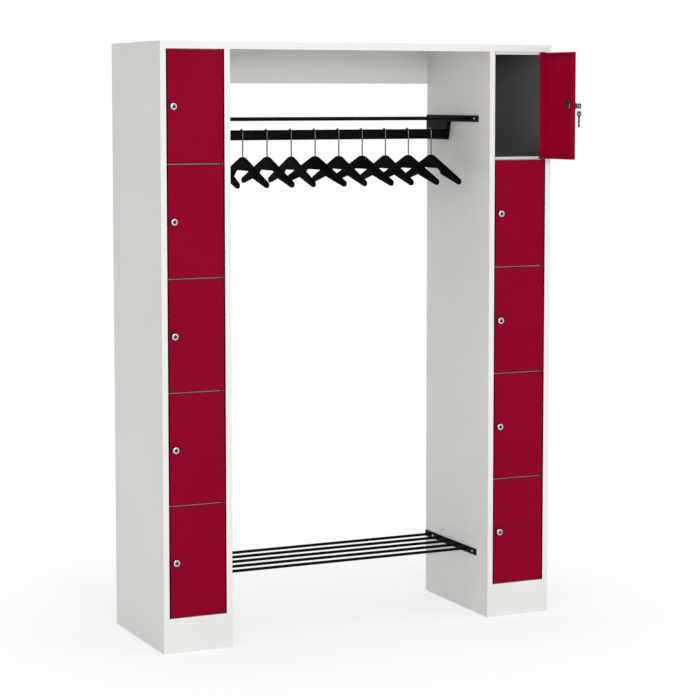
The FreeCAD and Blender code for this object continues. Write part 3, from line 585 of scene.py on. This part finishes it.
ROWS, ROWS_KEYS = rows_tree()
WIRES, WIRES_KEYS = wire_tree()


def grown(name, data, tree, keys, values):
    """The plain mesh that a tree makes from a mesh or curve."""
    obj = bpy.data.objects.new(f"{name}_seed", data)
    bpy.context.scene.collection.objects.link(obj)
    modifier = obj.modifiers.new("tree", "NODES")
    modifier.node_group = tree
    for label, value in values.items():
        modifier[keys[label]] = value
    bpy.context.view_layer.update()
    evaluated = obj.evaluated_get(bpy.context.evaluated_depsgraph_get())
    mesh = bpy.data.meshes.new_from_object(evaluated)
    mesh.name = name
    obj.modifiers.clear()
    bpy.data.objects.remove(obj)
    return mesh


def in_rows(name, bm, material, body, nodes, count, step, rows, row_step):
    """One shape in millimetres, repeated in rows as one piece."""
    bmesh.ops.recalc_face_normals(bm, faces=bm.faces)
    seed = bpy.data.meshes.new(f"{name}_one")
    bm.to_mesh(seed)
    bm.free()
    seed.transform(Matrix.Scale(MM, 4))
    values = {
        "Count": count, "Step": [v * MM for v in step],
        "Rows": rows, "Row Step": [v * MM for v in row_step], "Finish": material,
    }
    mesh = grown(name, seed, ROWS, ROWS_KEYS, values)
    return settle(name, mesh, material, body, nodes)


def wire_mesh(name, points, radius, sides, material, closed=False):
    """A mesh of round wire through points in millimetres."""
    curve = bpy.data.curves.new(f"{name}_path", "CURVE")
    curve.dimensions = "3D"
    spline = curve.splines.new("POLY")
    spline.points.add(len(points) - 1)
    for target, point in zip(spline.points, points):
        target.co = (*(Vector(point) * MM), 1)
    spline.use_cyclic_u = closed
    values = {"Radius": radius * MM, "Sides": sides, "Finish": material}
    return grown(name, curve, WIRES, WIRES_KEYS, values)


# Carcass


def coat_faces(obj, material, chosen):
    """Give the faces whose middle, in millimetres, is chosen another coat."""
    mesh = obj.data
    mesh.materials.append(material)
    for face in mesh.polygons:
        if chosen(*(face.center / MM)):
            face.material_index = len(mesh.materials) - 1


def in_locker(x, y, z):
    """True for a place between a column's skins, behind the plane of the door stops."""
    across = BAY + SHEET / 2 < abs(x) < WIDTH / 2 - SHEET / 2
    tall = PLINTH + SHEET < z < HEIGHT - SHEET / 2
    return across and tall and STOP + SHEET / 2 < y < BACK - SHEET / 2


def beside_door(x, y, z):
    """True for a place on the folds between a stile's front and the stops."""
    across = BAY + SHEET / 2 < abs(x) < WIDTH / 2 - SHEET / 2
    return across and FRONT + 2 * BEND < y < STOP + SHEET and PLINTH < z < HEADER_BOTTOM


def between_doors(x, y, z):
    """True for a place on the strips in the gaps between two doors."""
    return y < STOP and SILL_TOP + TIER / 2 < z < HEADER_BOTTOM - TIER / 2


def side_panel(node, column, lock_side):
    """A side with its front folded into a stile, and a stop lip on the lock side."""
    left = COLUMN_LEFT[column]
    half = SHEET / 2
    line = [(half, BACK), (half, FRONT + half), (STILE - half, FRONT + half)]
    if lock_side:
        line += [(STILE - half, STOP + half), (STILE + STOP_LIP, STOP + half)]
    else:
        line += [(STILE - half, STOP + SHEET)]
    place = shift(left, 0, 0) if lock_side else shift(left + COLUMN, 0, 0) @ Matrix.Scale(-1, 4, (1, 0, 0))
    bm = bmesh.new()
    extrude_stations(bm, folded_stations(line, BEND, SHEET), PLINTH, HEADER_BOTTOM, place)
    wall = folded_stations([(half, BACK), (half, FRONT + SHEET)], BEND, SHEET)
    extrude_stations(bm, wall, 0, PLINTH, place)
    extrude_stations(bm, wall, HEADER_BOTTOM, HEIGHT - SHEET, place)
    panel = piece(f"{node}_folded", bm, white_paint, "stand", [node])
    # Painted shade: faces inside a locker get the grey that stands in for their shadow
    coat_faces(panel, inside_painted_shade, in_locker)
    # Painted shade: the folds between the stile's front and the stops, which are really white
    coat_faces(panel, fold_painted_shade, beside_door)


def roof():
    """The roof sheet with its front fold and the returns between the walls."""
    half = SHEET / 2
    bm = bmesh.new()
    line = [(BACK, HEIGHT - half), (FRONT + half, HEIGHT - half), (FRONT + half, HEADER_BOTTOM)]
    extrude_stations(bm, folded_stations(line, BEND, SHEET), -WIDTH / 2, WIDTH / 2, axes(*ALONG_X))
    spans = [(left + SHEET, left + COLUMN - SHEET) for left in COLUMN_LEFT.values()] + [(-BAY, BAY)]
    for low, high in spans:
        slab(bm, (low, FRONT + SHEET, HEADER_BOTTOM), (high, STOP, HEADER_BOTTOM + SHEET))
    piece("roof_folded", bm, white_paint, "stand", ["roof"])


def carcass():
    side_panel("left_outer_side", "left", True)
    side_panel("left_inner_side", "left", False)
    side_panel("right_inner_side", "right", True)
    side_panel("right_outer_side", "right", False)
    roof()
    for column in COLUMN_LEFT:
        eased_copy(f"{column}_plinth", PANEL_EASE, white_paint, "stand")
        shelves = eased_copy(f"{column}_shelves", SHELF_EASE, white_paint, "stand")
        # Painted shade inside the lockers, and a painted-shade grey on the strips between the doors
        coat_faces(shelves, inside_painted_shade, in_locker)
        # Painted shade: the strips in the gaps between the doors
        coat_faces(shelves, strip_painted_shade, between_doors)
        back = eased_copy(f"{column}_back_panel", SHELF_EASE, white_paint, "stand")
        # Painted shade: the back panel's faces inside the lockers
        coat_faces(back, inside_painted_shade, in_locker)
    eased_copy("rear_apron", PANEL_EASE, white_paint, "stand")


# Racks, rail and their fasteners


def rack_tubes():
    """Tubes of both racks, with chamfered ends."""
    bm = bmesh.new()
    profile = [
        (TUBE_RADIUS - TUBE_EASE, 0), (TUBE_RADIUS, TUBE_EASE),
        (TUBE_RADIUS, RACK_LONG - TUBE_EASE), (TUBE_RADIUS - TUBE_EASE, RACK_LONG),
    ]
    turned(bm, profile, axes(*ALONG_X, (-BAY + BRACKET_THICK, TUBE_FIRST_Y, SHOE_Z)), sides=24)
    in_rows("rack_tube_bank", bm, black_paint, "stand", ["rack_tubes"],
            TUBES, (0, TUBE_STEP, 0), 2, (0, 0, HAT_Z - SHOE_Z))


def coat_rail():
    """An upright oval tube from bracket to bracket."""
    half = RAIL_TALL / 2 - RAIL_THICK / 2

    def oval(radius):
        return arc_points((0, half), radius, 0, 180, 14) + arc_points((0, -half), radius, 180, 360, 14)

    bm = bmesh.new()
    place = axes(*ALONG_X, (-BAY + BRACKET_THICK, RAIL_Y, RAIL_Z))
    bore = oval(RAIL_THICK / 2 - RAIL_WALL)
    plate(bm, oval(RAIL_THICK / 2), RACK_LONG, RAIL_EASE, place, holes=[bore])
    piece("coat_rail_tube", bm, black_paint, "stand", ["coat_rail"])


def bracket_screws():
    """Pan head screws with a hexagon socket, four on each side."""
    nodes = ["bracket_screws"]
    for side, way in ((-1, ALONG_X), (1, ALONG_MINUS_X)):
        bm = bmesh.new()
        place = axes(*way, (side * (BAY - BRACKET_THICK), SCREW_YS[0], SHOE_Z))
        flats = hexagon(SOCKET_FLATS)
        shank = [
            (SCREW_RADIUS - SCREW_TIP, -SCREW_LONG),
            (SCREW_RADIUS, SCREW_TIP_LONG - SCREW_LONG),
            (SCREW_RADIUS, 0),
        ]
        socket = [(flats, SOCKET_TOP), (flats, SOCKET_FLOOR), SOCKET_DIMPLE]
        turned(bm, [*shank, *SCREW_PAN, *socket], place, sides=24)
        name = f"bracket_screw_set_{'left' if side < 0 else 'right'}"
        in_rows(name, bm, zinc, "stand", nodes,
                2, (0, SCREW_YS[1] - SCREW_YS[0], 0), 2, (0, 0, HAT_Z - SHOE_Z))
        nodes = []


def racks():
    rack_tubes()
    coat_rail()
    for node in ("hat_shelf_brackets", "shoe_rack_brackets"):
        eased_copy(node, RACK_EASE, black_paint, "stand")
    bracket_screws()


# Doors, pivots, locks and keys


def hinge_x(column):
    return COLUMN_LEFT[column] + COLUMN - STILE - DOOR_GAP - PIN_INSET


def door_place(column, number):
    """From a door's own frame, on its hinge axis at its lower edge, to the unit's."""
    low = SILL_TOP + (TIERS - number) * TIER + LUG_THICK / 2 + LUG_PLAY
    turn = OPEN_ANGLE if (column, number) == OPEN_DOOR else 0.0
    return shift(hinge_x(column), FRONT + PIN_SETBACK, low) @ Matrix.Rotation(turn, 4, "Z")


def pivot_shape(low, high):
    """A lug on the stile with its pin, from so far under its middle to so far over it."""
    bm = bmesh.new()
    reach = LUG_THICK / 2 + LUG_PLAY + SHEET + PIN_REACH
    edge = COLUMN_LEFT["left"] + COLUMN - STILE
    y = FRONT + PIN_SETBACK
    outline = [
        Vector(p) for p in ((edge, y - LUG_DEEP / 2), (edge, y + LUG_DEEP / 2),
                            (edge - LUG_LONG, y + LUG_DEEP / 2), (edge - LUG_LONG, y - LUG_DEEP / 2))
    ]
    plate(bm, outline, (low + high) * LUG_THICK / 2, LUG_EASE, shift(0, 0, SILL_TOP - low * LUG_THICK / 2))
    profile = [
        (PIN_RADIUS - PIN_TIP * low, -reach * low), (PIN_RADIUS, -(reach - PIN_TIP) * low),
        (PIN_RADIUS, (reach - PIN_TIP) * high), (PIN_RADIUS - PIN_TIP * high, reach * high),
    ]
    turned(bm, profile, shift(hinge_x("left"), y, SILL_TOP), sides=20)
    return bm


def pivots():
    """Pivots between the doors of both columns, and single ended ones at top and bottom."""
    across = (WIDTH - COLUMN, 0, 0)
    nodes = ["hinge_pins"]
    kinds = (("middle", 1, 1, 1, TIERS - 1), ("lowest", 0, 1, 0, 1), ("highest", 1, 0, TIERS, 1))
    for name, low, high, first, count in kinds:
        bm = pivot_shape(low, high)
        bmesh.ops.translate(bm, vec=(0, 0, first * TIER), verts=bm.verts)
        in_rows(f"pivots_{name}", bm, dark_steel_and_painted_shade, "stand", nodes,
                count, (0, 0, TIER), 2, across)
        nodes = []


def door_panel(column, number):
    """A folded door tray with lips round its back."""
    name = f"door_{column}_{number}"
    half = SHEET / 2
    line = [
        (DOOR_LIP, DOOR_THICK - half), (half, DOOR_THICK - half), (half, half), (DOOR_LIP * 2, half),
    ]
    bm = bmesh.new()
    frame_stations(bm, folded_stations(line, BEND, SHEET), DOOR_WIDE, DOOR_TALL,
                   shift(PIN_INSET - DOOR_WIDE, FACE_Y, 0))
    place = door_place(column, number)
    bm.transform(place)
    panel = piece(f"{name}_panel", bm, red_paint, name, [name])
    to_door = place.inverted()

    def in_tray(*at):
        x, y, z = to_door @ Vector(at)
        within = PIN_INSET - DOOR_WIDE + half < x < PIN_INSET - half and half < z < DOOR_TALL - half
        return within and y > FACE_Y + half

    # Painted light: the tray's inside faces get the lighter red
    coat_faces(panel, red_inside_painted_light, in_tray)


def lock_body(column, number):
    """The lock's chromed face and barrel, and the hexagon nut that clamps it from behind."""
    name = f"door_{column}_{number}"
    place = door_place(column, number) @ axes(*ALONG_Y, (LOCK_X, 0, LOCK_Z))
    bm = bmesh.new()
    mouth = [(BORE_RADIUS, LOCK_FACE_Y + LOCK_EASE), (BORE_RADIUS + LOCK_EASE, LOCK_FACE_Y)]
    rim = [(FACE_RADIUS - inset, LOCK_FACE_Y + back) for inset, back in LOCK_RIM]
    collar = [(FACE_RADIUS, FACE_Y - COLLAR_EASE), (FACE_RADIUS - LOCK_EASE, FACE_Y)]
    barrel = [
        (BARREL_RADIUS, FACE_Y), (BARREL_RADIUS, BARREL_END_Y - BARREL_EASE),
        (BARREL_RADIUS - BARREL_EASE, BARREL_END_Y), (BORE_RADIUS, BARREL_END_Y),
    ]
    turned(bm, mouth + rim + collar + barrel, place, sides=48, closed=True)
    body = piece(f"{name}_lock_body", bm, lock_chrome, name)
    to_lock = place.inverted()

    # Painted shade: the chrome collar gets the dark steel all round, standing in for its shaded side
    def collar_painted_shade(*at):
        return (to_lock @ Vector(at)).xy.length > FACE_RADIUS - COLLAR_EASE / 2

    coat_faces(body, dark_steel_and_painted_shade, collar_painted_shade)
    low, high = FACE_Y + SHEET, FACE_Y + SHEET + NUT_THICK
    flats = hexagon(NUT_FLATS)
    eased = hexagon(NUT_CROWN)
    bore = BARREL_RADIUS + NUT_PLAY
    bm = bmesh.new()
    nut = [(bore, low), (flats, low), (flats, high - NUT_EASE), (eased, high), (bore, high)]
    turned(bm, nut, place, sides=48, closed=True)
    piece(f"{name}_lock_nut", bm, dark_steel_and_painted_shade, name)


def keyway_outline():
    w, t = KEYWAY_WIDE / 2, KEYWAY_TALL / 2
    return [Vector(p) for p in ((-w, -t), (w, -t), (w, t), (-w, t))]


def lock_plug(column, number):
    """The turning plug with its keyway, the cam behind the door and the cam's screw."""
    name = f"lock_{column}_{number}"
    place = door_place(column, number) @ axes((1, 0, 0), (0, 0, 1), (0, -1, 0), (LOCK_X, 0, LOCK_Z))
    bm = bmesh.new()
    keyway_end = -PLUG_FACE_Y - KEYWAY_DEEP
    plate(bm, circle_points(PLUG_RADIUS, 36), KEYWAY_DEEP, PLUG_EASE, place @ shift(0, 0, keyway_end),
          holes=[keyway_outline()])
    turned(bm, [(PLUG_RADIUS, -CAM_Y), (PLUG_RADIUS, keyway_end - HAIR_GAP)], place, sides=36)
    head = hexagon(CAM_SCREW_FLATS)
    back = -CAM_Y - CAM_THICK
    washer, end = back - CAM_WASHER_TALL, back - CAM_SCREW_TALL
    screw = [
        (CAM_WASHER_RADIUS, back), (CAM_WASHER_RADIUS, washer), (head, washer),
        (head, end + CAM_SCREW_EASE), (CAM_SCREW_CROWN, end),
    ]
    turned(bm, screw, place, sides=36)
    piece(f"{name}_plug", bm, dark_steel_and_painted_shade, name, [name])
    bm = bmesh.new()
    round_end = CAM_WIDE / 2
    cam = arc_points((0, 0), round_end, 180, 360, 14)
    cam += arc_points((0, CAM_LONG - round_end), round_end, 0, 180, 14)
    plate(bm, cam, CAM_THICK, PLUG_EASE, place @ shift(0, 0, back))
    piece(f"{name}_cam", bm, dark_steel_and_painted_shade, name)


def key_outline(blade):
    """A flat key from its bow at the origin to its blade along +x, with cuts along one edge."""
    half, shoulder = KEY_BLADE_TALL / 2, KEY_NECK_TALL / 2
    neck = KEY_BOW + KEY_NECK
    end = neck + blade
    start = math.degrees(math.asin(shoulder / KEY_BOW))
    points = arc_points((0, 0), KEY_BOW, start, 360 - start, 40)
    points += [Vector(p) for p in ((neck, -shoulder), (neck, -half))]
    run = (blade - 2 * KEY_POINT_LONG) / len(KEY_CUTS)
    for n, cut in enumerate(KEY_CUTS):
        at = neck + KEY_POINT_LONG / 2 + n * run
        points += [Vector((at + run * 0.25, -half + cut)), Vector((at + run * 0.75, -half + cut))]
    point, rise = end - KEY_POINT_LONG, half - KEY_POINT_TALL
    tip = [(point, -half), (end, -rise), (end, rise), (point, half)]
    return points + [Vector(p) for p in tip + [(neck, half), (neck, shoulder)]]


def keys():
    """The key in the open door's lock, and the spare on a ring through its bow."""
    door = door_place(*OPEN_DOOR)
    hole = circle_points(KEY_HOLE, 24)
    bm = bmesh.new()
    place = door @ axes((0, 1, 0), (0, 0, 1), (1, 0, 0), (LOCK_X - KEY_THICK / 2, BOW_Y, LOCK_Z))
    plate(bm, key_outline(KEY_BLADE), KEY_THICK, KEY_EASE, place, holes=[hole], steps=2)
    piece("key_cut", bm, nickel, "lock_right_1", ["key"])
    bm = bmesh.new()
    place = door @ axes((0, 0, -1), (0, 1, 0), (1, 0, 0), (LOCK_X - KEY_THICK / 2, BOW_Y, SPARE_Z))
    plate(bm, key_outline(SPARE_BLADE), KEY_THICK, KEY_EASE, place, holes=[hole], steps=2)
    piece("spare_key_cut", bm, nickel, "spare_key", ["spare_key"])
    ring = []
    for point in circle_points(RING_RADIUS, 48):
        ring.append(door @ Vector((LOCK_X + point.x, BOW_Y, RING_Z + point.y)))
    mesh = wire_mesh("key_ring", ring, RING_WIRE, 12, zinc, closed=True)
    settle("key_ring", mesh, zinc, "spare_key")


def doors():
    pivots()
    for column in COLUMN_LEFT:
        for number in range(1, TIERS + 1):
            door_panel(column, number)
            lock_body(column, number)
            lock_plug(column, number)
    keys()


# Hangers


def hanger_x(n):
    return HANGER_SHIFT + (n - (HANGERS - 1) / 2) * HANGER_STEP


def hook_path(x):
    """The middle line of a hook, from the head in the shoulder up over the rail to its tail."""
    over = arc_points((RAIL_Y, HOOK_CENTRE_Z), HOOK_RADIUS, 180, 0, 36)
    path = [(x, STEM_Y, PEAK_Z - NECK_DEEP)] + [(x, p.x, p.y) for p in over]
    return path + [(x, RAIL_Y + HOOK_RADIUS, HOOK_CENTRE_Z - HOOK_TAIL)]


def hanger_hook(n):
    """A chromed wire hook with a rounded tail and the head that holds it in the shoulder."""
    name = f"hanger_hook_{n + 1:02d}"
    path = hook_path(hanger_x(n))
    mesh = wire_mesh(f"{name}_wire", path, WIRE, 20, hook_chrome)
    bm = bmesh.new()
    bm.from_mesh(mesh)
    bm.transform(Matrix.Scale(1 / MM, 4))
    bmesh.ops.create_uvsphere(bm, u_segments=20, v_segments=12, radius=WIRE, matrix=shift(*path[-1]))
    eased = STEM_HEAD - STEM_HEAD_EASE
    low, high = STEM_HEAD_EASE - STEM_HEAD_TALL, -STEM_HEAD_EASE
    head = [(eased, -STEM_HEAD_TALL), (STEM_HEAD, low), (STEM_HEAD, high), (eased, 0)]
    turned(bm, head, shift(*path[0]), sides=24)
    piece(f"{name}_bent", bm, hook_chrome, name, [name])


def arc_between(first, last, radius, steps):
    """Points of the short arc, anticlockwise from first to last, without its last point."""
    chord = last - first
    rise = math.sqrt(radius ** 2 - chord.length_squared / 4)
    centre = (first + last) / 2 + Vector((-chord.y, chord.x)).normalized() * rise
    start = math.atan2(*(first - centre).yx)
    sweep = 2 * math.asin(chord.length / 2 / radius)
    return [
        centre + radius * Vector((math.cos(start + sweep * k / steps), math.sin(start + sweep * k / steps)))
        for k in range(steps)
    ]


def shoulder_outline():
    """Crown, arms, round tips and the arch under them, anticlockwise from the crown's right end."""
    right = {name: Vector(p) for name, p in SHOULDER_CORNERS.items()}
    left = {name: p * Vector((-1, 1)) for name, p in right.items()}

    def straight(first, last, steps):
        return [first.lerp(last, k / steps) for k in range(steps)]

    points = arc_between(right["crown"], left["crown"], CROWN_RADIUS, 12)
    points += straight(left["crown"], left["tip"], 10)
    points += arc_between(left["tip"], left["arm_end"], TIP_RADIUS, 10)
    points += straight(left["arm_end"], left["foot"], 8)
    points += [left["foot"]] + arc_between(left["arch"], left["foot"], ARCH_RADIUS, 8)[:0:-1]
    points += straight(left["arch"], right["arch"], 6)
    points += [right["arch"]] + arc_between(right["foot"], right["arch"], ARCH_RADIUS, 8)[:0:-1]
    points += straight(right["foot"], right["arm_end"], 8)
    points += arc_between(right["arm_end"], right["tip"], TIP_RADIUS, 10)
    points += straight(right["tip"], right["crown"], 10)
    return points


def hanger_shoulder(n):
    """A moulded shoulder piece with full rounded edges."""
    name = f"hanger_shoulder_{n + 1:02d}"
    turn = Matrix.Rotation(math.radians(HANGER_YAW[n]), 4, "Z")
    place = shift(hanger_x(n), STEM_Y, PEAK_Z) @ turn @ axes(*ALONG_X, (-SHOULDER_THICK / 2, 0, 0))
    bm = bmesh.new()
    plate(bm, shoulder_outline(), SHOULDER_THICK, SHOULDER_EASE, place, steps=4)
    piece(f"{name}_moulded", bm, black_plastic, name, [name], sharp=50.0)


def hangers():
    for n in range(HANGERS):
        hanger_hook(n)
        hanger_shoulder(n)


# Stage, light and camera


def seen_directly(nodes, links):
    """One where a ray comes from the camera, a mirror or glass, else zero."""
    path = nodes.new("ShaderNodeLightPath")
    total = path.outputs["Is Camera Ray"]
    for kind in ("Is Glossy Ray", "Is Transmission Ray"):
        larger = nodes.new("ShaderNodeMath")
        larger.operation = "MAXIMUM"
        links.new(total, larger.inputs[0])
        links.new(path.outputs[kind], larger.inputs[1])
        total = larger.outputs["Value"]
    return total


def floor():
    """A pale floor that fades to plain white away from the unit, so that no horizon shows."""
    material, nodes, links, shader, coords = finish("pale_floor", roughness=0.9, metallic=0.0, sheen=0.1)
    cloud = noise(nodes, links, coords, scale=1.5, detail=2.0)
    links.new(tinted(nodes, links, cloud, FLOOR_DARK, FLOOR_LIGHT), shader.inputs["Base Color"])
    white = nodes.new("ShaderNodeEmission")
    white.inputs["Color"].default_value = (1, 1, 1, 1)
    white.inputs["Strength"].default_value = 1.0
    reach = nodes.new("ShaderNodeVectorMath")
    reach.operation = "LENGTH"
    links.new(coords, reach.inputs[0])
    fade = nodes.new("ShaderNodeMapRange")
    fade.interpolation_type = "SMOOTHSTEP"
    fade.inputs["From Min"].default_value = FADE_START
    fade.inputs["From Max"].default_value = FADE_END
    fade.inputs["To Min"].default_value = FADE_LEAST
    links.new(reach.outputs["Value"], fade.inputs["Value"])
    share = nodes.new("ShaderNodeMath")
    share.operation = "MULTIPLY"
    links.new(fade.outputs["Result"], share.inputs[0])
    links.new(seen_directly(nodes, links), share.inputs[1])
    blend = nodes.new("ShaderNodeMixShader")
    links.new(share.outputs["Value"], blend.inputs["Fac"])
    links.new(shader.outputs["BSDF"], blend.inputs[1])
    links.new(white.outputs["Emission"], blend.inputs[2])
    links.new(blend.outputs["Shader"], nodes["Material Output"].inputs["Surface"])
    bm = bmesh.new()
    bmesh.ops.create_grid(bm, x_segments=1, y_segments=1, size=FLOOR_HALF)
    mesh = bpy.data.meshes.new("floor")
    bm.to_mesh(mesh)
    bm.free()
    mesh.materials.append(material)
    obj = bpy.data.objects.new("floor", mesh)
    bpy.context.scene.collection.objects.link(obj)


def lamp(name, place, target, size, power):
    """A soft square lamp that looks at a point."""
    data = bpy.data.lights.new(name, "AREA")
    data.size = size
    data.energy = power
    obj = bpy.data.objects.new(name, data)
    obj.location = place
    obj.rotation_euler = (Vector(target) - Vector(place)).to_track_quat("-Z", "Y").to_euler()
    bpy.context.scene.collection.objects.link(obj)


def surroundings():
    """A white room: full white where it is seen or mirrored, a plain level where it lights."""
    world = bpy.data.worlds.new("white_room")
    bpy.context.scene.world = world
    world.use_nodes = True
    nodes, links = world.node_tree.nodes, world.node_tree.links
    background = nodes["Background"]
    background.inputs["Color"].default_value = (1, 1, 1, 1)
    level = nodes.new("ShaderNodeMapRange")
    level.inputs["To Min"].default_value = ROOM_LEVEL
    level.inputs["To Max"].default_value = 1.0
    links.new(seen_directly(nodes, links), level.inputs["Value"])
    links.new(level.outputs["Result"], background.inputs["Strength"])


def camera():
    """The photograph's view: from the front left, a little above eye level."""
    data = bpy.data.cameras.new("view")
    data.sensor_width = VIEW_SENSOR
    data.lens = VIEW_FOCUS_PIXELS * VIEW_SENSOR / VIEW_PIXELS
    data.shift_y = VIEW_SHIFT
    data.clip_end = 100.0
    obj = bpy.data.objects.new("view", data)
    obj.location = VIEW_PLACE
    obj.rotation_euler = (VIEW_TILT, 0, VIEW_TURN)
    bpy.context.scene.collection.objects.link(obj)
    bpy.context.scene.camera = obj


carcass()
racks()
doors()
hangers()
floor()
surroundings()
lamp("front_lamp", place=(-0.7, -6.4, 2.75), target=(0.0, 0.0, 1.0), size=1.6, power=130.0)
lamp("top_lamp", place=(0.0, -0.6, 11.0), target=(0.0, 0.0, 0.0), size=5.0, power=360.0)
camera()
bpy.context.scene.view_settings.view_transform = "Standard"
